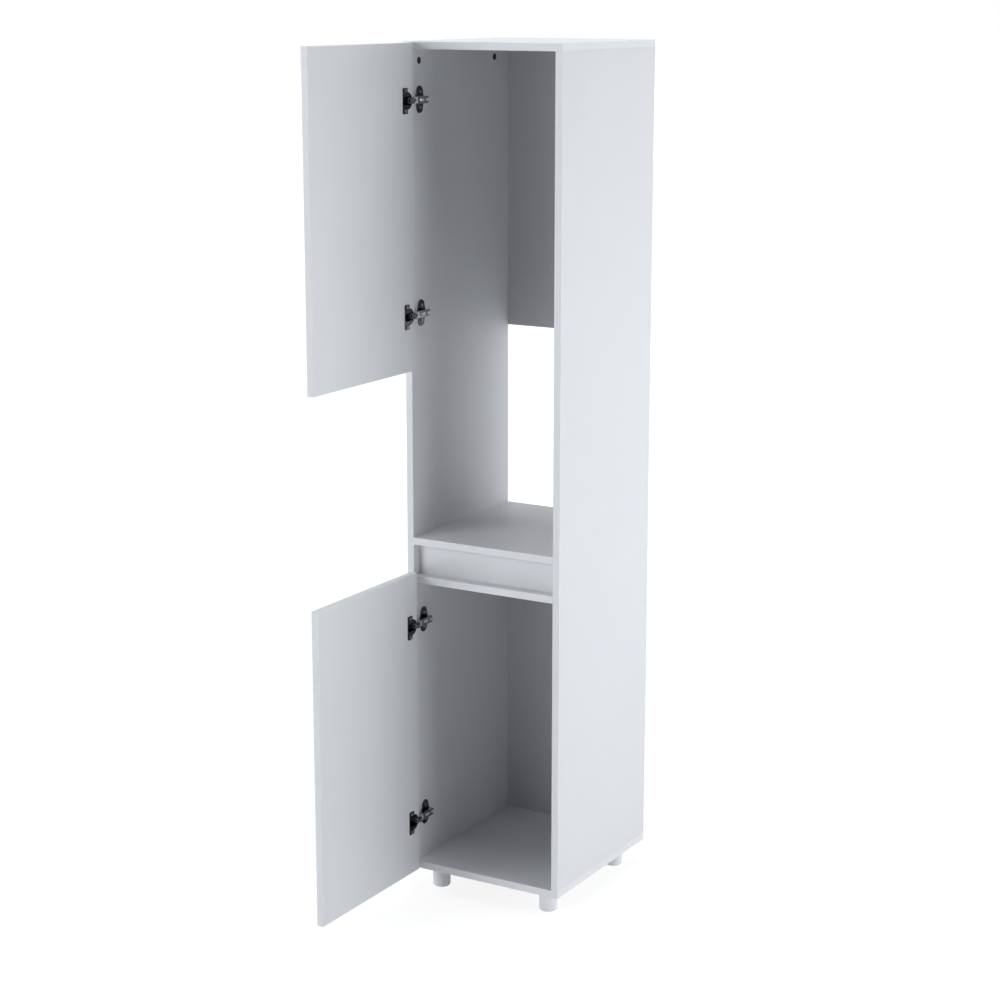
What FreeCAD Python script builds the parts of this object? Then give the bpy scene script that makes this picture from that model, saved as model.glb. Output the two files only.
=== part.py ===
import FreeCAD, Part

import math
import os

# Tall cabinet for a bottled-water dispenser: two handleless doors, an open niche between them, a finger
# recess under the niche and round feet. Millimetres, +Z up, front towards -Y, origin on the floor under
# the middle of the cabinet with its doors standing square open.

# Boards
board = 16.0
back_thickness = 3.0
edge_band = 2.0
band_round = 0.9

# Carcass
carcass_width = 378.0
carcass_depth = 410.0
carcass_height = 1818.0
recess_height = 69.0
back_opening_height = 415.0
fascia_setback = 24.0
rebate_width = 8.0

# Doors
door_height = 685.0
top_reveal = 2.0
bottom_reveal = 2.5
door_lip = 10.5
hinge_side_reveal = 3.0
free_side_reveal = 1.5
door_gap = 3.0
axis_from_edge = 9.8
axis_depth = 17.5
hinge_inset = 118.0

# Hinge cups, sunk into the doors
cup_diameter = 35.0
cup_depth = 13.0
cup_edge_distance = 3.0
cup_wall = 0.8
pocket_half_height = 8.6
flange_length = 53.0
flange_width = 18.0
flange_offset = 9.0
flange_corner = 3.0
flange_thickness = 1.2
cup_screw_spacing = 42.0
cup_screw_length = 11.0

# Hinge arms, clipped on plates that are screwed to the left side
plate_thickness = 1.8
plate_height = 57.0
plate_width = 31.0
plate_tip_radius = 12.5
plate_waist = 12.0
plate_bevel = 0.7
plate_setback = 37.0
plate_screw_spacing = 32.0
plate_screw_length = 13.0
rail_length = 27.6
rail_half_height = 5.9
arm_height = 14.8
arm_steel = 1.5
arm_half_height = 7.8
arm_front = 5.0
arm_length = 46.0
arm_cheek_depth = 7.6
arm_nose_radius = 3.0
arm_rear_radius = 5.0
arm_slot_length = 18.0
arm_slot_width = 4.6
ear_radius = 2.6
adjusting_screws_at = (26.0, 44.5)
adjusting_head_radius = 3.2
adjusting_head_height = 1.2
adjusting_shank_radius = 2.0
adjusting_shank_length = 8.0
adjusting_slot_width = 1.0
adjusting_slot_length = 4.4
adjusting_slot_depth = 0.6

# Hinge links: pivots and bends as (from the side's inner face, from the front plane), doors square open
outer_pivot = (16.0, -7.0)
outer_bend = (17.3, -19.0)
outer_tip = (10.5, -21.5)
inner_pivot = (15.5, -2.8)
inner_bends = ((19.1, -15.3), (15.3, -19.8))
inner_tip = (12.3, -18.9)
pin_radius = 1.25
link_half_thickness = 1.2
link_eye_radius = 2.4
outer_cheek_inside = 3.2
outer_cheek_outside = 5.9
inner_link_half_height = 2.7

# Connecting fittings
fitting_front = 37.0
fitting_rear = 64.0
shelf_fitting_inset = 64.0
cam_diameter = 15.0
cam_height = 12.5
cam_distance = 24.0
cam_slot_width = 2.0
cam_slot_length = 9.0
cam_slot_depth = 2.5
bolt_bore_radius = 3.6
bolt_head_radius = 3.4
bolt_head_height = 3.0
bolt_shank_radius = 3.0
bolt_thread_radius = 2.5
bolt_thread_length = 10.0
channel_radius = 4.0
dowel_diameter = 8.0
dowel_length = 30.0
dowel_in_face = 11.0
dowel_chamfer = 0.8
dowel_offset = 32.0
fascia_dowel_spacing = 32.0
connector_head_radius = 5.0
connector_head_height = 3.0
connector_shank_radius = 3.5
connector_thread_radius = 2.5
connector_length = 50.0
wood_screw_radius = 1.75
wood_screw_head_radius = 3.4
wood_screw_head_height = 1.8
wood_screw_cross_length = 4.0
wood_screw_cross_width = 1.0
wood_screw_cross_depth = 1.0
back_screw_radius = 1.5
back_screw_head_radius = 3.0
back_screw_length = 14.0
back_screw_head_height = 1.0
back_screw_spacing = 145.0
back_screw_margin = 40.0

# Feet
foot_height = 52.0
foot_diameter = 40.0
foot_inset = 51.0
foot_wall = 3.0
foot_sole = 4.0
foot_bevel = 3.5
foot_flange_width = 8.0
foot_flange_thickness = 3.5
foot_screw_length = 13.0

# Clearances
seat_gap = 0.05
running_gap = 0.05
hole_relief = 0.5

# Places worked out from the sizes above
left_outer = -carcass_width / 2
right_outer = carcass_width / 2
left_inner = left_outer + board
right_inner = right_outer - board
carcass_bottom = foot_height
carcass_top = carcass_bottom + carcass_height
sides_bottom = carcass_bottom + board
sides_top = carcass_top - board
lower_door_bottom = carcass_bottom + bottom_reveal
lower_door_top = lower_door_bottom + door_height
lower_shelf_top = lower_door_top - door_lip
lower_shelf_bottom = lower_shelf_top - board
niche_shelf_bottom = lower_shelf_top + recess_height
niche_shelf_top = niche_shelf_bottom + board
upper_back_bottom = niche_shelf_top + back_opening_height

hinge_overlay = board - hinge_side_reveal
door_width = carcass_width - hinge_side_reveal - free_side_reveal
open_face = axis_from_edge + axis_depth - hinge_overlay
open_edge = axis_from_edge - axis_depth - door_gap
door_reach = door_width - open_edge
front = (door_reach - carcass_depth) / 2
rear = front + carcass_depth
back_face = rear - back_thickness

door_inner_face = left_inner + open_face
door_outer_face = door_inner_face - board
door_hinge_edge = front + open_edge
door_free_edge = door_hinge_edge - door_width
upper_door_top = carcass_top - top_reveal
upper_door_bottom = upper_door_top - door_height
cup_centre = cup_edge_distance + cup_diameter / 2

fitting_lines = (front + fitting_front, rear - fitting_rear)
dowel_lines = (fitting_lines[0] + dowel_offset, fitting_lines[1] - dowel_offset)
shelf_lines = (front + shelf_fitting_inset, rear - shelf_fitting_inset)
shelf_dowel_lines = (shelf_lines[0] + dowel_offset, shelf_lines[1] - dowel_offset)

X_AXIS = FreeCAD.Vector(1, 0, 0)
Y_AXIS = FreeCAD.Vector(0, 1, 0)
Z_AXIS = FreeCAD.Vector(0, 0, 1)


def box(x0, y0, z0, x1, y1, z1):
    """A box between two opposite corners."""
    return Part.makeBox(x1 - x0, y1 - y0, z1 - z0, FreeCAD.Vector(x0, y0, z0))


def rod(radius, length, start, direction):
    """A round bar of a given length from a start point."""
    return Part.makeCylinder(radius, length, FreeCAD.Vector(*start), direction)


def joined(shapes):
    """One solid from shapes that meet, without the seams between them."""
    return shapes[0].fuse(shapes[1:]).removeSplitter()


def edge_at(edge, x=None, y=None, z=None):
    """Whether every end of an edge has the given coordinates; those left out may be anything."""
    for vertex in edge.Vertexes:
        for value, wanted in zip(vertex.Point, (x, y, z)):
            if wanted is not None and abs(value - wanted) > 1e-6:
                return False
    return True


def bar_along(points, half_width, bottom, top):
    """An upright bar of one width that follows a line of points in plan, with round ends and bends."""
    pieces = []
    for x, y in points:
        pieces.append(rod(half_width, top - bottom, (x, y, bottom), Z_AXIS))
    for (x0, y0), (x1, y1) in zip(points[:-1], points[1:]):
        length = math.hypot(x1 - x0, y1 - y0)
        piece = box(0, -half_width, bottom, length, half_width, top)
        piece.rotate(FreeCAD.Vector(0, 0, 0), Z_AXIS, math.degrees(math.atan2(y1 - y0, x1 - x0)))
        piece.translate(FreeCAD.Vector(x0, y0, 0))
        pieces.append(piece)
    return joined(pieces)


def moved(shape, x, y, z):
    """A copy of a shape, shifted."""
    copy = shape.copy()
    copy.translate(FreeCAD.Vector(x, y, z))
    return copy


holes = {}
nodes = {}


def drill(panel, tool):
    """Notes a hole or cut to be taken out of a panel."""
    holes.setdefault(panel, []).append(tool)


def add(node, shape):
    """Puts a solid in a node; a node with several solids is a group."""
    nodes.setdefault(node, []).append(shape)


def stepped_rod(steps, start, direction):
    """A round bar of steps, each a radius and a length, one after another along a direction."""
    point = FreeCAD.Vector(*start)
    pieces = []
    for radius, length in steps:
        pieces.append(Part.makeCylinder(radius, length, point, direction))
        point = point + direction * length
    return joined(pieces)


def widened(steps, gap):
    """The steps of the hole that a stepped bar goes into."""
    return [(radius + gap, length) for radius, length in steps]


def banded_panel(name, band_node, low, high, banded):
    """A board whose edges named in banded carry a strip of edge band inside the given box."""
    core_low = list(low)
    core_high = list(high)
    for axis, end in banded:
        if end < 0:
            core_low[axis] += edge_band
        else:
            core_high[axis] -= edge_band
    add(name, box(*core_low, *core_high))
    done = []
    for axis, end in banded:
        strip_low = list(low)
        strip_high = list(high)
        for other, other_end in done:
            if other_end < 0:
                strip_low[other] += edge_band
            else:
                strip_high[other] -= edge_band
        if end < 0:
            strip_high[axis] = low[axis] + edge_band
            outer = low[axis]
        else:
            strip_low[axis] = high[axis] - edge_band
            outer = high[axis]
        strip = box(*strip_low, *strip_high)
        add(band_node, strip.makeFillet(min(band_round, 0.45 * edge_band), long_edges(strip, axis, outer)))
        done.append((axis, end))


def long_edges(strip, axis, outer):
    """The two long edges on the outer face of a strip of edge band."""
    lengths = [edge.Length for edge in strip.Edges]
    chosen = []
    for edge in strip.Edges:
        on_face = all(abs(vertex.Point[axis] - outer) < 1e-6 for vertex in edge.Vertexes)
        if on_face and edge.Length > 0.99 * max(lengths):
            chosen.append(edge)
    return chosen


def cross_slots(mouth, face, along, length, width, depth):
    """The two bars that cut a cross slot into a round face around the point mouth."""
    cutters = []
    for bar, side in ((along, face.cross(along)), (face.cross(along), along)):
        reach = bar * (length / 2) + side * (width / 2) + face * depth
        low = [min((mouth - reach)[i], (mouth + reach)[i]) for i in range(3)]
        high = [max((mouth - reach)[i], (mouth + reach)[i]) for i in range(3)]
        cutters.append(box(*low, *high))
    return cutters


def wood_screw(length, start, direction):
    """A cross-slotted screw with a flat head, from the top of its head along a direction."""
    steps = [(wood_screw_head_radius, wood_screw_head_height), (wood_screw_radius, length)]
    mouth = FreeCAD.Vector(*start)
    along = Y_AXIS if abs(direction.y) < 0.5 else X_AXIS
    sizes = (wood_screw_cross_length, wood_screw_cross_width, wood_screw_cross_depth)
    return stepped_rod(steps, start, direction).cut(cross_slots(mouth, -direction, along, *sizes))


def carcass_panels():
    """The boards of the carcass, with rebates for the backs."""
    front_edge = (1, -1)
    left_end = (0, -1)
    right_end = (0, 1)
    bands = "carcass_edge_bands"
    for name, x0 in (("left_side_panel", left_outer), ("right_side_panel", right_inner)):
        banded_panel(name, bands, (x0, front, sides_bottom), (x0 + board, rear, sides_top), [front_edge])
    for name, z0 in (("bottom_panel", carcass_bottom), ("top_panel", sides_top)):
        low = (left_outer, front, z0)
        high = (right_outer, rear, z0 + board)
        banded_panel(name, bands, low, high, [left_end, right_end, front_edge])
    low = (left_inner, front, niche_shelf_bottom)
    banded_panel("niche_shelf", bands, low, (right_inner, rear, niche_shelf_top), [front_edge])
    low = (left_inner, front, lower_shelf_bottom)
    banded_panel("lower_shelf", bands, low, (right_inner, back_face, lower_shelf_top), [front_edge])
    fascia_front = front + fascia_setback
    fascia_low = (left_inner, fascia_front, lower_shelf_top)
    add("recess_fascia", box(*fascia_low, right_inner, fascia_front + board, niche_shelf_bottom))

    rebate_left = left_inner - rebate_width
    rebate_right = right_inner + rebate_width
    rebate_low = sides_bottom - rebate_width
    rebate_high = sides_top + rebate_width
    drill("left_side_panel", box(rebate_left, back_face, sides_bottom, left_inner, rear, sides_top))
    drill("right_side_panel", box(right_inner, back_face, sides_bottom, rebate_right, rear, sides_top))
    drill("top_panel", box(rebate_left, back_face, sides_top, rebate_right, rear, rebate_high))
    drill("bottom_panel", box(rebate_left, back_face, rebate_low, rebate_right, rear, sides_bottom))
    shelf_rebate = niche_shelf_bottom + rebate_width
    drill("niche_shelf", box(left_inner, back_face, niche_shelf_bottom, right_inner, rear, shelf_rebate))
    add("upper_back_panel", box(rebate_left, back_face, upper_back_bottom, rebate_right, rear, rebate_high))
    lower_back = box(rebate_left, back_face, rebate_low, rebate_right, rear, niche_shelf_bottom)
    tongue = box(left_inner, back_face, niche_shelf_bottom, right_inner, rear, shelf_rebate)
    add("lower_back_panel", joined([lower_back, tongue]))

    left_line = left_inner - rebate_width / 2
    right_line = right_inner + rebate_width / 2
    for x in (left_line, right_line):
        side = "left_side_panel" if x < 0 else "right_side_panel"
        spread_screws("upper_back_panel", side, x, upper_back_bottom, sides_top)
        spread_screws("lower_back_panel", side, x, sides_bottom, niche_shelf_bottom)
    for x in (left_inner + back_screw_margin, right_inner - back_screw_margin):
        back_screw("upper_back_panel", "top_panel", x, sides_top + rebate_width / 2)
        back_screw("lower_back_panel", "bottom_panel", x, sides_bottom - rebate_width / 2)
        back_screw("lower_back_panel", "niche_shelf", x, niche_shelf_bottom + rebate_width / 2)
        back_screw("lower_back_panel", "lower_shelf", x, lower_shelf_bottom + board / 2)


def spread_screws(back, side, x, low, high):
    """A row of small screws up one edge of a back."""
    span = high - low - 2 * back_screw_margin
    count = max(1, round(span / back_screw_spacing))
    for index in range(count + 1):
        back_screw(back, side, x, low + back_screw_margin + span * index / count)


def back_screw(back, panel, x, z):
    """A small screw from behind, its flat head flush in the back."""
    shank = back_screw_length - back_screw_head_height
    steps = [(back_screw_head_radius, back_screw_head_height), (back_screw_radius, shank)]
    add("back_panel_screws", stepped_rod(steps, (x, rear, z), -Y_AXIS))
    hole = stepped_rod(widened(steps, seat_gap), (x, rear, z), -Y_AXIS)
    drill(back, hole)
    drill(panel, hole)


def cam_fitting(cam_panel, bolt_panel, joint, towards, face):
    """A cam in one board that pulls a bolt in the next board tight.

    joint is the point of the bolt on the seam, towards points from the seam to the cam, and face points
    out of the board face that shows the cam.
    """
    seam = FreeCAD.Vector(*joint)
    centre = seam + towards * cam_distance
    mouth = centre + face * (board / 2)
    cam = Part.makeCylinder(cam_diameter / 2, cam_height, mouth, -face)
    drill(cam_panel, Part.makeCylinder(cam_diameter / 2 + seat_gap, cam_height + hole_relief, mouth, -face))
    bore = Part.makeCylinder(bolt_bore_radius, cam_diameter / 2 + bolt_head_height, centre, -towards)
    slots = cross_slots(mouth, face, towards, cam_slot_length, cam_slot_width, cam_slot_depth)
    add("cam_housings", cam.cut([bore] + slots))
    shank = cam_distance - bolt_head_height
    steps = [
        (bolt_thread_radius, bolt_thread_length),
        (bolt_shank_radius, shank),
        (bolt_head_radius, bolt_head_height),
    ]
    tip = seam - towards * bolt_thread_length
    add("cam_bolts", stepped_rod(steps, tip, towards))
    thread_hole = bolt_thread_length + hole_relief
    drill(bolt_panel, Part.makeCylinder(bolt_thread_radius + seat_gap, thread_hole, seam, -towards))
    drill(cam_panel, Part.makeCylinder(channel_radius, cam_distance, seam, towards))


def dowel(face_panel, end_panel, seam, towards_end):
    """A wooden dowel across a seam, deeper in the board whose end it enters."""
    start = FreeCAD.Vector(*seam) - towards_end * dowel_in_face
    peg = Part.makeCylinder(dowel_diameter / 2, dowel_length, start, towards_end)
    rims = [edge for edge in peg.Edges if edge.Closed]
    add("wooden_dowels", peg.makeChamfer(dowel_chamfer, rims))
    hole_start = start - towards_end * hole_relief
    hole_length = dowel_length + 2 * hole_relief
    hole = Part.makeCylinder(dowel_diameter / 2 + seat_gap, hole_length, hole_start, towards_end)
    drill(face_panel, hole)
    drill(end_panel, hole)


def connecting_fittings():
    """Cams, bolts, dowels and connector screws that hold the boards together."""
    sides = (("left_side_panel", left_inner, 1), ("right_side_panel", right_inner, -1))
    shelves = (("niche_shelf", niche_shelf_bottom), ("lower_shelf", lower_shelf_bottom))
    fascia_middle = front + fascia_setback + board / 2
    recess_middle = (lower_shelf_top + niche_shelf_bottom) / 2
    for side, inner, inward in sides:
        middle = inner - inward * board / 2
        for y in fitting_lines:
            cam_fitting(side, "top_panel", (middle, y, sides_top), -Z_AXIS, X_AXIS * inward)
            connector_screw(side, middle, y)
        for y in dowel_lines:
            dowel("top_panel", side, (middle, y, sides_top), -Z_AXIS)
            dowel("bottom_panel", side, (middle, y, sides_bottom), Z_AXIS)
        for shelf, bottom in shelves:
            for y in shelf_lines:
                cam_fitting(shelf, side, (inner, y, bottom + board / 2), X_AXIS * inward, -Z_AXIS)
            for y in shelf_dowel_lines:
                dowel(side, shelf, (inner, y, bottom + board / 2), X_AXIS * inward)
        for step in (-0.5, 0.5):
            seam = (inner, fascia_middle, recess_middle + step * fascia_dowel_spacing)
            dowel(side, "recess_fascia", seam, X_AXIS * inward)


def connector_screw(side, x, y):
    """A long connector screw from below through the bottom panel into a side."""
    shank = board - connector_head_height
    thread = connector_length - board
    steps = [
        (connector_head_radius, connector_head_height),
        (connector_shank_radius, shank),
        (connector_thread_radius, thread),
    ]
    add("connector_screws", stepped_rod(steps, (x, y, carcass_bottom), Z_AXIS))
    hole = stepped_rod(widened(steps, seat_gap), (x, y, carcass_bottom), Z_AXIS)
    drill("bottom_panel", hole)
    drill(side, hole)


def feet():
    """Four hollow round feet with a screwed flange and a bevelled sole."""
    radius = foot_diameter / 2
    flange_radius = radius + foot_flange_width
    screw_circle = radius + foot_flange_width / 2
    stem = Part.makeCylinder(radius, foot_height)
    sole_edge = [edge for edge in stem.Edges if edge.Closed and edge.BoundBox.ZMax < foot_height / 2]
    stem = stem.makeChamfer(foot_bevel, sole_edge)
    flange_bottom = foot_height - foot_flange_thickness
    flange = Part.makeCylinder(flange_radius, foot_flange_thickness, FreeCAD.Vector(0, 0, flange_bottom))
    hollow_height = foot_height - foot_sole
    hollow = Part.makeCylinder(radius - foot_wall, hollow_height, FreeCAD.Vector(0, 0, foot_sole))
    foot = joined([stem, flange]).cut(hollow)
    screw_start = flange_bottom - wood_screw_head_height
    for row, y in (("front", front + foot_inset), ("rear", rear - foot_inset)):
        for hand, x in (("left", left_outer + foot_inset), ("right", right_outer - foot_inset)):
            placed = moved(foot, x, y, 0)
            for quarter in range(4):
                turn = math.radians(45 + 90 * quarter)
                start = (x + screw_circle * math.cos(turn), y + screw_circle * math.sin(turn), screw_start)
                add("foot_screws", wood_screw(foot_screw_length, start, Z_AXIS))
                shank_start = (start[0], start[1], flange_bottom)
                hole = rod(wood_screw_radius + seat_gap, foot_screw_length, shank_start, Z_AXIS)
                placed = placed.cut(hole)
                drill("bottom_panel", hole)
            add("foot_" + row + "_" + hand, placed)


def door(name, bottom):
    """A door, banded on all four edges, standing square open."""
    low = (door_outer_face, door_free_edge, bottom)
    high = (door_inner_face, door_hinge_edge, bottom + door_height)
    edges = [(1, -1), (1, 1), (2, -1), (2, 1)]
    banded_panel(name + "_panel", name + "_edge_bands", low, high, edges)


def hinge_cup(door_name, hinge, height):
    """A cup sunk in a door, with a flange on the door's face, a pocket for the links and two screws."""
    y = door_hinge_edge - cup_centre
    face = door_inner_face
    flange_face = face + flange_thickness
    floor = face - cup_depth + cup_wall
    radius = cup_diameter / 2
    middle = y - flange_offset
    half_width = flange_width / 2
    half_length = flange_length / 2
    body = rod(radius, cup_depth + flange_thickness, (face - cup_depth, y, height), X_AXIS)
    flange_low = (face, middle - half_width, height - half_length)
    flange = box(*flange_low, flange_face, middle + half_width, height + half_length)
    corners = [edge for edge in flange.Edges if abs(edge.Length - flange_thickness) < 1e-6]
    cup = joined([body, flange.makeFillet(flange_corner, corners)])
    pocket_low = height - pocket_half_height
    pocket_high = height + pocket_half_height
    pocket = rod(radius - cup_wall, flange_face - floor, (floor, y, height), X_AXIS)
    pocket = pocket.common(box(floor, y - radius, pocket_low, flange_face, y + radius, pocket_high))
    cup = cup.cut(pocket)
    panel = door_name + "_panel"
    drill(panel, rod(radius + seat_gap, cup_depth + seat_gap, (face, y, height), -X_AXIS))
    for end in (-0.5, 0.5):
        z = height + end * cup_screw_spacing
        start = (flange_face + wood_screw_head_height, middle, z)
        add(door_name + "_cup_screws", wood_screw(cup_screw_length, start, -X_AXIS))
        hole = rod(wood_screw_radius + seat_gap, cup_screw_length, (flange_face, middle, z), -X_AXIS)
        cup = cup.cut(hole)
        drill(panel, hole)
    add(hinge + "_cup", cup)


def plate_wing(end):
    """One bevelled wing of a hinge plate with a round tip; end is 1 for the upper, -1 for the lower."""
    tip = end * (plate_height / 2 - plate_tip_radius)
    waist = end * plate_waist / 2
    outline = [
        (plate_setback - plate_width / 2, waist),
        (plate_setback - plate_tip_radius, tip),
        (plate_setback + plate_tip_radius, tip),
        (plate_setback + plate_width / 2, waist),
    ]
    points = [FreeCAD.Vector(0, y, z) for y, z in outline]
    wing = Part.Face(Part.makePolygon(points + points[:1])).extrude(X_AXIS * plate_thickness)
    wing = joined([wing, rod(plate_tip_radius, plate_thickness, (0, plate_setback, tip), X_AXIS)])
    rim = []
    for edge in wing.Edges:
        on_top = all(abs(vertex.Point.x - plate_thickness) < 1e-6 for vertex in edge.Vertexes)
        if on_top and abs(edge.CenterOfMass.z - waist) > 1e-3:
            rim.append(edge)
    return wing.makeChamfer(plate_bevel, rim)


def hinge_plate(hinge, height):
    """A winged plate on the left side, with the rail that the arm clips on and two screws."""
    rail_start = plate_setback - rail_length / 2
    rail_end = plate_setback + rail_length / 2
    rail_top = arm_height - arm_steel
    waist = plate_waist / 2
    plate_start = plate_setback - plate_width / 2
    plate_end = plate_setback + plate_width / 2
    centre = box(0, plate_start, -waist, plate_thickness, plate_end, waist)
    rail = box(0, rail_start, -rail_half_height, rail_top, rail_end, rail_half_height)
    plate = joined([centre, rail, plate_wing(1), plate_wing(-1)])
    for end in (-0.5, 0.5):
        z = end * plate_screw_spacing
        start = (plate_thickness + wood_screw_head_height, plate_setback, z)
        screw = wood_screw(plate_screw_length, start, -X_AXIS)
        add("hinge_plate_screws", moved(screw, left_inner, front, height))
        hole_start = (plate_thickness, plate_setback, z)
        hole = rod(wood_screw_radius + seat_gap, plate_screw_length, hole_start, -X_AXIS)
        plate = plate.cut(hole)
        drill("left_side_panel", moved(hole, left_inner, front, height))
    for y in adjusting_screws_at:
        add("hinge_adjusting_screws", moved(adjusting_screw(y), left_inner, front, height))
        plate = plate.cut(rod(adjusting_shank_radius + seat_gap, arm_height, (arm_height, y, 0), -X_AXIS))
    add(hinge + "_plate", moved(plate, left_inner, front, height))


def adjusting_screw(y):
    """A cross-slotted screw that holds an arm to its rail."""
    top = arm_height + adjusting_head_height
    steps = [
        (adjusting_head_radius, adjusting_head_height),
        (adjusting_shank_radius, adjusting_shank_length),
    ]
    mouth = FreeCAD.Vector(top, y, 0)
    sizes = (adjusting_slot_length, adjusting_slot_width, adjusting_slot_depth)
    return stepped_rod(steps, mouth, -X_AXIS).cut(cross_slots(mouth, X_AXIS, Y_AXIS, *sizes))


def hinge_arm(hinge, height):
    """A channel-shaped steel arm over the rail: rounded nose, forked rear end and two ears for the pins."""
    inside = arm_half_height - arm_steel
    cheek_bottom = arm_height - arm_cheek_depth
    rear_end = arm_front + arm_length
    hollow_front = arm_front + arm_steel
    shell = box(cheek_bottom, arm_front, -arm_half_height, arm_height, rear_end, arm_half_height)
    nose = [edge for edge in shell.Edges if edge_at(edge, x=arm_height, y=arm_front)]
    shell = shell.makeFillet(arm_nose_radius, nose)
    hollow = box(cheek_bottom, hollow_front, -inside, arm_height - arm_steel, rear_end, inside)
    inner_nose = [edge for edge in hollow.Edges if edge_at(edge, x=arm_height - arm_steel, y=hollow_front)]
    shell = shell.cut(hollow.makeFillet(arm_nose_radius - arm_steel, inner_nose))
    root = ((arm_height + cheek_bottom) / 2, arm_front + ear_radius)
    pieces = [shell]
    for bottom in (-arm_half_height, inside):
        pieces.append(bar_along([outer_pivot, inner_pivot, root], ear_radius, bottom, bottom + arm_steel))
    arm = joined(pieces)
    corners = []
    for edge in arm.Edges:
        if edge_at(edge, y=rear_end, z=arm_half_height) or edge_at(edge, y=rear_end, z=-arm_half_height):
            corners.append(edge)
    arm = arm.makeFillet(arm_rear_radius, corners)
    slot_middle, rear_screw = adjusting_screws_at
    half_slot = (arm_slot_length - arm_slot_width) / 2
    slot = [rod(arm_slot_width / 2, arm_height, (arm_height, slot_middle - half_slot, 0), -X_AXIS)]
    slot.append(rod(arm_slot_width / 2, arm_height, (arm_height, slot_middle + half_slot, 0), -X_AXIS))
    slot_low = (0, slot_middle - half_slot, -arm_slot_width / 2)
    slot.append(box(*slot_low, arm_height, slot_middle + half_slot, arm_slot_width / 2))
    arm = arm.cut(joined(slot))
    fork = adjusting_shank_radius + seat_gap
    arm = arm.cut(rod(fork, arm_height, (arm_height, rear_screw, 0), -X_AXIS))
    arm = arm.cut(box(0, rear_screw, -fork, arm_height, rear_end, fork))
    bore = pin_radius + seat_gap
    for x, y in (outer_pivot, inner_pivot):
        arm = arm.cut(rod(bore, 2 * arm_half_height, (x, y, -arm_half_height), Z_AXIS))
    add(hinge + "_arm", moved(arm, left_inner, front, height))
    inner_pin = rod(pin_radius, 2 * arm_half_height, (*inner_pivot, -arm_half_height), Z_AXIS)
    add("hinge_link_pins", moved(inner_pin, left_inner, front, height))
    stub = arm_half_height - outer_cheek_inside
    for bottom in (-arm_half_height, outer_cheek_inside):
        outer_pin = rod(pin_radius, stub, (*outer_pivot, bottom), Z_AXIS)
        add("hinge_link_pins", moved(outer_pin, left_inner, front, height))


def hinge_links(hinge, height):
    """The forked outer link and the plain inner link, each turning on its pin in the arm."""
    bore = pin_radius + running_gap
    pieces = [rod(link_half_thickness, 2 * outer_cheek_outside, (*outer_tip, -outer_cheek_outside), Z_AXIS)]
    cheeks = ((-outer_cheek_outside, -outer_cheek_inside), (outer_cheek_inside, outer_cheek_outside))
    for bottom, top in cheeks:
        pieces.append(bar_along([outer_pivot, outer_bend, outer_tip], link_half_thickness, bottom, top))
        pieces.append(rod(link_eye_radius, top - bottom, (*outer_pivot, bottom), Z_AXIS))
    outer = joined(pieces)
    outer = outer.cut(rod(bore, 2 * outer_cheek_outside, (*outer_pivot, -outer_cheek_outside), Z_AXIS))
    add(hinge + "_outer_link", moved(outer, left_inner, front, height))
    low = -inner_link_half_height
    strip = bar_along([inner_pivot, *inner_bends, inner_tip], link_half_thickness, low, -low)
    eye = rod(link_eye_radius, -2 * low, (*inner_pivot, low), Z_AXIS)
    inner = joined([strip, eye]).cut(rod(bore, -2 * low, (*inner_pivot, low), Z_AXIS))
    add(hinge + "_inner_link", moved(inner, left_inner, front, height))


def hinges():
    """Two concealed hinges on each door."""
    for door_name, bottom in (("upper_door", upper_door_bottom), ("lower_door", lower_door_bottom)):
        places = (("top", bottom + door_height - hinge_inset), ("bottom", bottom + hinge_inset))
        for place, height in places:
            hinge = door_name + "_" + place + "_hinge"
            hinge_cup(door_name, hinge, height)
            hinge_plate(hinge, height)
            hinge_arm(hinge, height)
            hinge_links(hinge, height)


carcass_panels()
connecting_fittings()
feet()
door("upper_door", upper_door_bottom)
door("lower_door", lower_door_bottom)
hinges()

os.makedirs("parts", exist_ok=True)
for node, solids in nodes.items():
    if node in holes:
        solids = [solids[0].cut(holes[node])]
    shape = solids[0] if len(solids) == 1 else Part.makeCompound(solids)
    shape.exportStep("parts/" + node + ".step")
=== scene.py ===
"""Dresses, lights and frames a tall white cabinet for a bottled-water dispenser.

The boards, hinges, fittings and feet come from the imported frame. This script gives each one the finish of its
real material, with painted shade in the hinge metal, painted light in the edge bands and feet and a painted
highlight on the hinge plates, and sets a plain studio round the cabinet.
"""

import logging
import math
from dataclasses import dataclass
from enum import Enum, IntEnum
from typing import Any

import bmesh
import bpy
from mathutils import Euler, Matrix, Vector


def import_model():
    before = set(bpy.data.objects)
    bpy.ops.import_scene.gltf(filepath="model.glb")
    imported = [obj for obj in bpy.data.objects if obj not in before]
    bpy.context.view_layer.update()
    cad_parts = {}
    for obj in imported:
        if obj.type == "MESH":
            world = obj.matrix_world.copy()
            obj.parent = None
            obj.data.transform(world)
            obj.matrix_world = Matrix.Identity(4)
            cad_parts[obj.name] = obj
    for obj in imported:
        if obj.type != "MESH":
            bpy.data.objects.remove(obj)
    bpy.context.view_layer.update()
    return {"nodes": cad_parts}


LOG = logging.getLogger("cabinet")
MM = 0.001
PURE_WHITE = "#FFFFFF"

# The sRGB curve: straight near black, and a power above the knee.
SRGB_KNEE = 0.04045
SRGB_SLOPE = 12.92
SRGB_OFFSET = 0.055
SRGB_POWER = 2.4

# Each pattern's finer layers: how many there are, and how strong each is beside the one before it.
MOTTLE_DETAIL = 3.0
MOTTLE_ROUGHNESS = 0.55
GRAIN_DETAIL = 2.0
GRAIN_ROUGHNESS = 0.6
RELIEF_STRENGTH = 0.5


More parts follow.
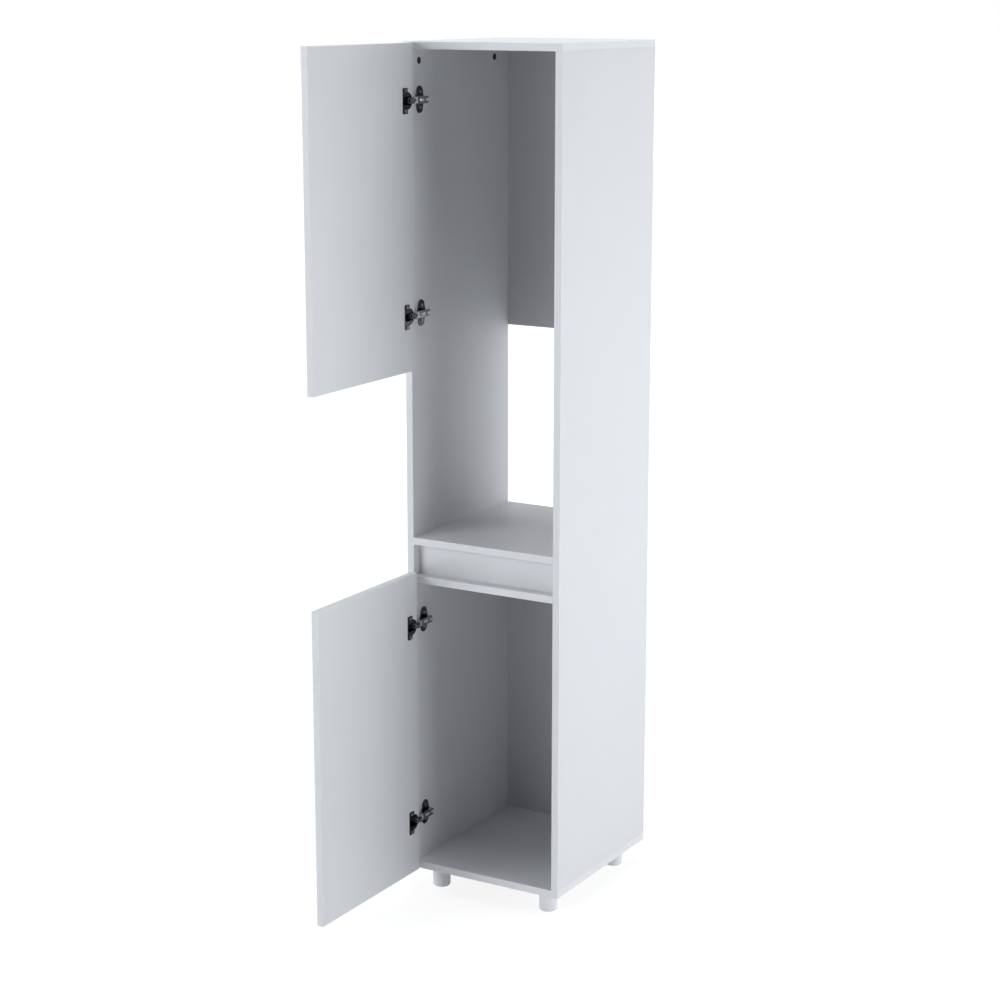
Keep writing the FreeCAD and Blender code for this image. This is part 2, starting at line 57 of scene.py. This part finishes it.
def linear(hex_colour: str) -> tuple[float, float, float, float]:
    """Turns an sRGB hex colour into linear light.

    Args:
        hex_colour: six hex digits with a leading hash.

    Returns:
        Red, green, blue and an alpha of one.
    """
    channels = []
    for start in (1, 3, 5):
        value = int(hex_colour[start:start + 2], 16) / 255
        if value <= SRGB_KNEE:
            channels.append(value / SRGB_SLOPE)
        else:
            channels.append(((value + SRGB_OFFSET) / (1 + SRGB_OFFSET)) ** SRGB_POWER)
    return (*channels, 1.0)


def empty_tree(owner: bpy.types.Material | bpy.types.World) -> bpy.types.NodeTree:
    """Returns the owner's node tree, switched on and with nothing in it."""
    owner.use_nodes = True
    owner.node_tree.nodes.clear()
    return owner.node_tree


def add_node(
    tree: bpy.types.NodeTree,
    kind: str,
    settings: dict[str | int, Any] | None = None,
    links: dict[str | int, bpy.types.NodeSocket] | None = None,
) -> bpy.types.Node:
    """Adds one node with its settings and its incoming links.

    Args:
        tree: the node tree of a material or the world.
        kind: the node's type name.
        settings: values by input name, input number or property name.
        links: sockets to link from, by input name or number.

    Returns:
        The new node.
    """
    node = tree.nodes.new(kind)
    for key, value in (settings or {}).items():
        if isinstance(key, int) or key in node.inputs:
            node.inputs[key].default_value = value
        else:
            setattr(node, key, value)
    for key, socket in (links or {}).items():
        tree.links.new(socket, node.inputs[key])
    return node


class ColourMix(IntEnum):
    """Socket numbers of a mix of colours, whose socket names repeat for every kind of data."""

    FACTOR = 0
    RESULT = 2
    FIRST = 6
    SECOND = 7


class Lay(Enum):
    """The direction in which a surface's fine pattern is drawn out."""

    EVEN = (1.0, 1.0, 1.0)
    UPRIGHT = (1.0, 1.0, 0.08)
    ALONG_ARM = (1.0, 0.1, 1.0)


@dataclass(frozen=True)
class Surface:
    """What pieces are made of, as one material that they share."""

    name: str

    def material(self) -> bpy.types.Material:
        """Returns the material, made at its first use."""
        made = bpy.data.materials.get(self.name)
        if not made:
            made = bpy.data.materials.new(self.name)
            tree = empty_tree(made)
            add_node(tree, "ShaderNodeOutputMaterial", links={"Surface": self.shade(tree)})
        return made

    def shade(self, tree: bpy.types.NodeTree) -> bpy.types.NodeSocket:
        """Builds the shader of this surface and returns its output."""
        raise NotImplementedError


@dataclass(frozen=True)
class Finish(Surface):
    """A surface with two close shades, a fine grain and a gloss that varies a little.

    The pattern sizes are in millimetres. They are real ones, unless a comment says how they are drawn.
    """

    light_shade: str
    dark_shade: str
    mottle_mm: float
    grain_mm: float
    grain_depth_mm: float
    roughness: float
    roughness_spread: float
    metallic: float = 0.0
    ior: float = 1.5
    lay: Lay = Lay.EVEN

    def shade(self, tree: bpy.types.NodeTree) -> bpy.types.NodeSocket:
        """Builds the shader of this surface.

        Args:
            tree: the material's node tree.

        Returns:
            The shader's output.
        """
        place = add_node(tree, "ShaderNodeTexCoord")
        drawn = add_node(
            tree,
            "ShaderNodeMapping",
            {"Scale": self.lay.value},
            {"Vector": place.outputs["Object"]},
        )
        mottle = add_node(
            tree,
            "ShaderNodeTexNoise",
            {"Scale": 1 / (self.mottle_mm * MM), "Detail": MOTTLE_DETAIL, "Roughness": MOTTLE_ROUGHNESS},
            {"Vector": drawn.outputs["Vector"]},
        )
        grain = add_node(
            tree,
            "ShaderNodeTexNoise",
            {"Scale": 1 / (self.grain_mm * MM), "Detail": GRAIN_DETAIL, "Roughness": GRAIN_ROUGHNESS},
            {"Vector": drawn.outputs["Vector"]},
        )
        colour = add_node(
            tree,
            "ShaderNodeMix",
            {
                "data_type": "RGBA",
                ColourMix.FIRST: linear(self.light_shade),
                ColourMix.SECOND: linear(self.dark_shade),
            },
            {ColourMix.FACTOR: mottle.outputs["Fac"]},
        )
        gloss = add_node(
            tree,
            "ShaderNodeMapRange",
            {
                "To Min": self.roughness - self.roughness_spread,
                "To Max": self.roughness + self.roughness_spread,
            },
            {"Value": grain.outputs["Fac"]},
        )
        relief = add_node(
            tree,
            "ShaderNodeBump",
            {"Strength": RELIEF_STRENGTH, "Distance": self.grain_depth_mm * MM},
            {"Height": grain.outputs["Fac"]},
        )
        surface = add_node(
            tree,
            "ShaderNodeBsdfPrincipled",
            {"Metallic": self.metallic, "IOR": self.ior},
            {
                "Base Color": colour.outputs[ColourMix.RESULT],
                "Roughness": gloss.outputs["Result"],
                "Normal": relief.outputs["Normal"],
            },
        )
        return surface.outputs["BSDF"]


@dataclass(frozen=True)
class PaintedHighlightFinish(Surface):
    """A surface whose parts beyond a given distance along X have another finish, as a painted highlight."""

    base: Finish
    painted_highlight: Finish
    limit_mm: float

    def shade(self, tree: bpy.types.NodeTree) -> bpy.types.NodeSocket:
        """Builds both shaders, with a change from the base to the painted highlight at the limit.

        Args:
            tree: the material's node tree.

        Returns:
            The mixed shader's output.
        """
        place = add_node(tree, "ShaderNodeTexCoord")
        axes = add_node(tree, "ShaderNodeSeparateXYZ", links={"Vector": place.outputs["Object"]})
        beyond = add_node(
            tree,
            "ShaderNodeMath",
            {"operation": "GREATER_THAN", 1: self.limit_mm * MM},
            {0: axes.outputs["X"]},
        )
        mixed = add_node(
            tree,
            "ShaderNodeMixShader",
            links={0: beyond.outputs["Value"], 1: self.base.shade(tree), 2: self.painted_highlight.shade(tree)},
        )
        return mixed.outputs["Shader"]


# Melamine-faced chipboard, pressed against a plate with a fine pearl: an even white with a soft sheen.
# The pearl is about 0.6 mm; it is drawn at 2.4 mm so that it shows.
WHITE_MELAMINE = Finish(
    name="white_melamine",
    light_shade="#E1E2E4",
    dark_shade="#DDDEE0",
    mottle_mm=140.0,
    grain_mm=2.4,
    grain_depth_mm=0.03,
    roughness=0.46,
    roughness_spread=0.05,
)

# Extruded ABS edge band, ironed on: the same white and smoother, a little lighter as painted light on the front
# edges.
LIGHTENED_EDGE_BAND = Finish(
    name="abs_edge_band_painted_lighter",
    light_shade="#E9EAEC",
    dark_shade="#E5E6E8",
    mottle_mm=60.0,
    grain_mm=3.0,
    grain_depth_mm=0.02,
    roughness=0.4,
    roughness_spread=0.04,
)

# Thin hardboard with a rolled white lacquer: flatter than melamine, and mottled by the fibres beneath.
WHITE_HARDBOARD = Finish(
    name="white_lacquered_hardboard",
    light_shade="#CFD0D2",
    dark_shade="#C6C7C9",
    mottle_mm=5.0,
    grain_mm=1.8,
    grain_depth_mm=0.05,
    roughness=0.6,
    roughness_spread=0.06,
)

# Moulded polypropylene: a milky white with a fine spark-eroded grain, lighter as painted light against the
# shade below.
LIGHTENED_FOOT_PLASTIC = Finish(
    name="polypropylene_painted_lighter",
    light_shade="#F2F3F5",
    dark_shade="#ECEDEF",
    mottle_mm=30.0,
    grain_mm=1.2,
    grain_depth_mm=0.04,
    roughness=0.48,
    roughness_spread=0.05,
)

# Nickel plated steel, pressed: a mirror painted dark as painted shade, turning grey where it meets the white
# surround.
SHADE_DARKENED_NICKEL = Finish(
    name="nickel_plate_painted_dark",
    light_shade="#4A4B4E",
    dark_shade="#404144",
    mottle_mm=8.0,
    grain_mm=1.5,
    grain_depth_mm=0.01,
    roughness=0.14,
    roughness_spread=0.04,
    metallic=1.0,
)

# Nickel plated steel of the arms, pressed and polished: a mirror, painted darker than bright nickel as painted
# shade for the dark inside of the cabinet, that flashes at its bends.
SHADE_DARKENED_ARM_NICKEL = Finish(
    name="arm_nickel_painted_dark",
    light_shade="#9A9B9E",
    dark_shade="#8C8D90",
    mottle_mm=8.0,
    grain_mm=1.5,
    grain_depth_mm=0.01,
    roughness=0.12,
    roughness_spread=0.04,
    metallic=1.0,
    lay=Lay.ALONG_ARM,
)

# Bright nickel plated pins, screws and rails: a white mirror with a trace of warmth, slightly clouded.
BRIGHT_NICKEL = Finish(
    name="bright_nickel_plate",
    light_shade="#E3E2E0",
    dark_shade="#D8D6D3",
    mottle_mm=8.0,
    grain_mm=1.5,
    grain_depth_mm=0.01,
    roughness=0.32,
    roughness_spread=0.06,
    metallic=1.0,
)

# Zinc plated and passivated screws: a blue-grey metal, duller than nickel.
ZINC_PLATE = Finish(
    name="blue_zinc_plate",
    light_shade="#A6ABB0",
    dark_shade="#92979C",
    mottle_mm=4.0,
    grain_mm=0.8,
    grain_depth_mm=0.01,
    roughness=0.34,
    roughness_spread=0.08,
    metallic=1.0,
)

# Hinge plate: painted shade on the wings, and a raised rail in bright nickel, a painted highlight through the
# arm's slot.
PLATE_STEEL_WITH_PAINTED_HIGHLIGHT = PaintedHighlightFinish(
    name="hinge_plate_with_painted_highlight_rail",
    base=SHADE_DARKENED_NICKEL,
    painted_highlight=BRIGHT_NICKEL,
    limit_mm=-167.0,
)

# Die-cast zinc, left raw: dark grey with a fine sandy skin.
CAST_ZINC = Finish(
    name="raw_die_cast_zinc",
    light_shade="#626365",
    dark_shade="#525355",
    mottle_mm=3.0,
    grain_mm=0.7,
    grain_depth_mm=0.03,
    roughness=0.5,
    roughness_spread=0.08,
    metallic=1.0,
)

# Turned beech: pinkish brown with short upright flecks.
BEECH = Finish(
    name="turned_beech",
    light_shade="#C9A27A",
    dark_shade="#B58A60",
    mottle_mm=3.0,
    grain_mm=0.8,
    grain_depth_mm=0.06,
    roughness=0.62,
    roughness_spread=0.08,
    lay=Lay.UPRIGHT,
)


def dress(node: bpy.types.Object, surface: Surface) -> None:
    """Gives every face of an object one surface.

    Args:
        node: the object to dress.
        surface: what it is made of.
    """
    node.data.materials.clear()
    node.data.materials.append(surface.material())
    LOG.info("%s: %s", node.name, surface.name)


@dataclass
class Carcass:
    """The fixed boards, backs and edge bands."""

    nodes: dict[str, bpy.types.Object]
    boards: tuple[str, ...] = (
        "left_side_panel",
        "right_side_panel",
        "top_panel",
        "bottom_panel",
        "niche_shelf",
        "lower_shelf",
        "recess_fascia",
    )
    backs: tuple[str, ...] = ("upper_back_panel", "lower_back_panel")
    bands: str = "carcass_edge_bands"

    def dress(self) -> None:
        """Dresses the boards, backs and bands."""
        for name in self.boards:
            dress(self.nodes[name], WHITE_MELAMINE)
        for name in self.backs:
            dress(self.nodes[name], WHITE_HARDBOARD)
        dress(self.nodes[self.bands], LIGHTENED_EDGE_BAND)


@dataclass
class Fittings:
    """The cams, bolts, dowels and screws that hold the boards, feet and hinge plates."""

    nodes: dict[str, bpy.types.Object]
    zinc: tuple[str, ...] = (
        "cam_bolts",
        "connector_screws",
        "back_panel_screws",
        "foot_screws",
        "hinge_plate_screws",
    )

    def dress(self) -> None:
        """Dresses each kind of fitting."""
        for name in self.zinc:
            dress(self.nodes[name], ZINC_PLATE)
        dress(self.nodes["cam_housings"], CAST_ZINC)
        dress(self.nodes["wooden_dowels"], BEECH)


@dataclass
class Door:
    """A handleless door with its bands and the screws of its hinge cups."""

    nodes: dict[str, bpy.types.Object]
    name: str

    def dress(self) -> None:
        """Dresses the board, its bands and the cup screws."""
        dress(self.nodes[self.name + "_panel"], WHITE_MELAMINE)
        dress(self.nodes[self.name + "_edge_bands"], LIGHTENED_EDGE_BAND)
        dress(self.nodes[self.name + "_cup_screws"], ZINC_PLATE)


@dataclass
class Hinges:
    """The concealed hinges of both doors."""

    nodes: dict[str, bpy.types.Object]
    doors: tuple[str, ...] = ("upper_door", "lower_door")
    places: tuple[str, ...] = ("top", "bottom")

    def dress(self) -> None:
        """Dresses the cups, plates, arms, links, pins and adjusting screws."""
        for door in self.doors:
            for place in self.places:
                hinge = f"{door}_{place}_hinge_"
                # Cups, links and plate wings are painted dark as painted shade, and the plate's rail carries a
                # painted highlight.
                dress(self.nodes[hinge + "cup"], SHADE_DARKENED_NICKEL)
                dress(self.nodes[hinge + "plate"], PLATE_STEEL_WITH_PAINTED_HIGHLIGHT)
                dress(self.nodes[hinge + "arm"], SHADE_DARKENED_ARM_NICKEL)
                for link in ("outer_link", "inner_link"):
                    dress(self.nodes[hinge + link], SHADE_DARKENED_NICKEL)
        for name in ("hinge_link_pins", "hinge_adjusting_screws"):
            dress(self.nodes[name], BRIGHT_NICKEL)


@dataclass
class Foot:
    """A round moulded foot."""

    nodes: dict[str, bpy.types.Object]
    name: str

    def dress(self) -> None:
        """Dresses the foot."""
        dress(self.nodes[self.name], LIGHTENED_FOOT_PLASTIC)


@dataclass
class Lamp:
    """A soft box that faces a point on the upright line through the origin, in metres and watts."""

    name: str
    place: tuple[float, float, float]
    aim_height: float
    width: float
    height: float
    power: float
    colour: str = "#F8FBFF"

    def build(self) -> None:
        """Makes the soft box."""
        data = bpy.data.lights.new(self.name, "AREA")
        data.shape = "RECTANGLE"
        data.size = self.width
        data.size_y = self.height
        data.energy = self.power
        data.color = linear(self.colour)[:3]
        lamp = bpy.data.objects.new(self.name, data)
        bpy.context.scene.collection.objects.link(lamp)
        lamp.location = self.place
        towards = Vector((0.0, 0.0, self.aim_height)) - lamp.location
        lamp.rotation_euler = towards.to_track_quat("-Z", "Y").to_euler()
        LOG.info("lamp %s", self.name)


@dataclass
class Studio:
    """A white floor, a white surround, soft boxes and the camera, in metres.

    The floor shows its shadow up to shadow_reach from the middle and loses it over shadow_fade. The share
    says how much of the real paper shows there beside the plain white glow.
    """

    floor_half: float = 40.0
    shadow_reach: float = 1.6
    shadow_fade: float = 2.2
    shadow_share: float = 0.3
    glow: float = 1.2
    paper_shade: str = "#F4F4F4"
    bounce_shade: str = "#FAFAFA"
    lamps: tuple[Lamp, ...] = (
        Lamp("right_box", (2.5, 0.6, 1.15), aim_height=0.95, width=2.8, height=2.2, power=55.0),
        Lamp("left_front_box", (-2.4, -4.0, 2.4), aim_height=1.0, width=2.2, height=1.6, power=84.0),
        Lamp("low_front_box", (-1.2, -4.6, 0.5), aim_height=0.4, width=1.6, height=0.8, power=38.0),
        Lamp("top_box", (0.0, 0.4, 4.4), aim_height=0.9, width=3.0, height=3.0, power=86.0),
        Lamp("left_box", (-4.2, 0.8, 1.2), aim_height=0.9, width=3.4, height=2.4, power=46.0),
        Lamp("rear_box", (-0.9, 4.4, 0.5), aim_height=0.9, width=2.4, height=0.9, power=14.0),
    )
    eye: tuple[float, float, float] = (2.397, -4.006, 1.978)
    yaw_deg: float = 30.5
    pitch_deg: float = -12.83
    lens_mm: float = 81.0
    view_limit: float = 200.0

    def build(self) -> None:
        """Sets up the floor, the surround, the lamps and the camera."""
        self.build_floor()
        self.build_world()
        for lamp in self.lamps:
            lamp.build()
        self.build_camera()

    def build_floor(self) -> None:
        """Lays a white floor that keeps the cabinet's shadow near it."""
        mesh = bpy.data.meshes.new("studio_floor")
        shape = bmesh.new()
        half = self.floor_half
        corners = ((-half, -half), (half, -half), (half, half), (-half, half))
        shape.faces.new([shape.verts.new((x, y, 0.0)) for x, y in corners])
        shape.to_mesh(mesh)
        shape.free()
        floor = bpy.data.objects.new("studio_floor", mesh)
        bpy.context.scene.collection.objects.link(floor)
        mesh.materials.append(self.floor_paper())
        LOG.info("floor")

    def floor_paper(self) -> bpy.types.Material:
        """Makes the floor's paper, which looks white apart from the shadow and lights like plain paper.

        Returns:
            The material.
        """
        material = bpy.data.materials.new("matt_white_paper")
        tree = empty_tree(material)
        place = add_node(tree, "ShaderNodeTexCoord")
        distance = add_node(
            tree, "ShaderNodeVectorMath", {"operation": "LENGTH"}, {0: place.outputs["Object"]}
        )
        share = add_node(
            tree,
            "ShaderNodeMapRange",
            {
                "interpolation_type": "SMOOTHSTEP",
                "From Min": self.shadow_reach,
                "From Max": self.shadow_reach + self.shadow_fade,
                "To Min": self.shadow_share,
                "To Max": 0.0,
            },
            {"Value": distance.outputs["Value"]},
        )
        paper = add_node(tree, "ShaderNodeBsdfDiffuse", {"Color": linear(self.paper_shade)})
        glow = add_node(tree, "ShaderNodeEmission", {"Color": linear(PURE_WHITE), "Strength": self.glow})
        seen = add_node(
            tree,
            "ShaderNodeMixShader",
            links={0: share.outputs["Result"], 1: glow.outputs["Emission"], 2: paper.outputs["BSDF"]},
        )
        bounce = add_node(tree, "ShaderNodeBsdfDiffuse", {"Color": linear(self.bounce_shade)})
        surface = add_node(
            tree,
            "ShaderNodeMixShader",
            links={0: self.seen_directly(tree), 1: bounce.outputs["BSDF"], 2: seen.outputs["Shader"]},
        )
        add_node(tree, "ShaderNodeOutputMaterial", links={"Surface": surface.outputs["Shader"]})
        return material

    def build_world(self) -> None:
        """Surrounds the cabinet with white that shows to the eye and in mirrors, and gives no other light."""
        world = bpy.data.worlds.new("studio_surround")
        bpy.context.scene.world = world
        tree = empty_tree(world)
        surround = add_node(
            tree,
            "ShaderNodeBackground",
            {"Color": linear(PURE_WHITE)},
            {"Strength": self.seen_directly(tree)},
        )
        add_node(tree, "ShaderNodeOutputWorld", links={"Surface": surround.outputs["Background"]})
        LOG.info("surround")

    def seen_directly(self, tree: bpy.types.NodeTree) -> bpy.types.NodeSocket:
        """Adds a switch that is one for what the eye, a mirror or clear glass shows.

        Args:
            tree: the node tree that needs the switch.

        Returns:
            The socket with the switch.
        """
        path = add_node(tree, "ShaderNodeLightPath")
        mirrored = add_node(
            tree,
            "ShaderNodeMath",
            {"operation": "MAXIMUM"},
            {0: path.outputs["Is Camera Ray"], 1: path.outputs["Is Glossy Ray"]},
        )
        seen = add_node(
            tree,
            "ShaderNodeMath",
            {"operation": "MAXIMUM"},
            {0: mirrored.outputs["Value"], 1: path.outputs["Is Transmission Ray"]},
        )
        return seen.outputs["Value"]

    def build_camera(self) -> None:
        """Stands the camera to the front right, a little above the cabinet's top, looking down."""
        data = bpy.data.cameras.new("camera")
        data.lens = self.lens_mm
        data.clip_end = self.view_limit
        camera = bpy.data.objects.new("camera", data)
        bpy.context.scene.collection.objects.link(camera)
        camera.location = self.eye
        camera.rotation_euler = Euler((math.radians(90.0 + self.pitch_deg), 0.0, math.radians(self.yaw_deg)))
        bpy.context.scene.camera = camera
        LOG.info("camera")


def main() -> None:
    """Loads the frame, dresses every piece and sets up the studio."""
    logging.basicConfig(level=logging.INFO, format="%(name)s %(message)s")
    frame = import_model()
    nodes = frame["nodes"]
    bpy.context.scene.view_settings.view_transform = "Standard"
    Carcass(nodes).dress()
    Fittings(nodes).dress()
    for name in ("upper_door", "lower_door"):
        Door(nodes, name).dress()
    Hinges(nodes).dress()
    for row in ("front", "rear"):
        for hand in ("left", "right"):
            Foot(nodes, f"foot_{row}_{hand}").dress()
    Studio().build()


if __name__ == "__main__":
    main()
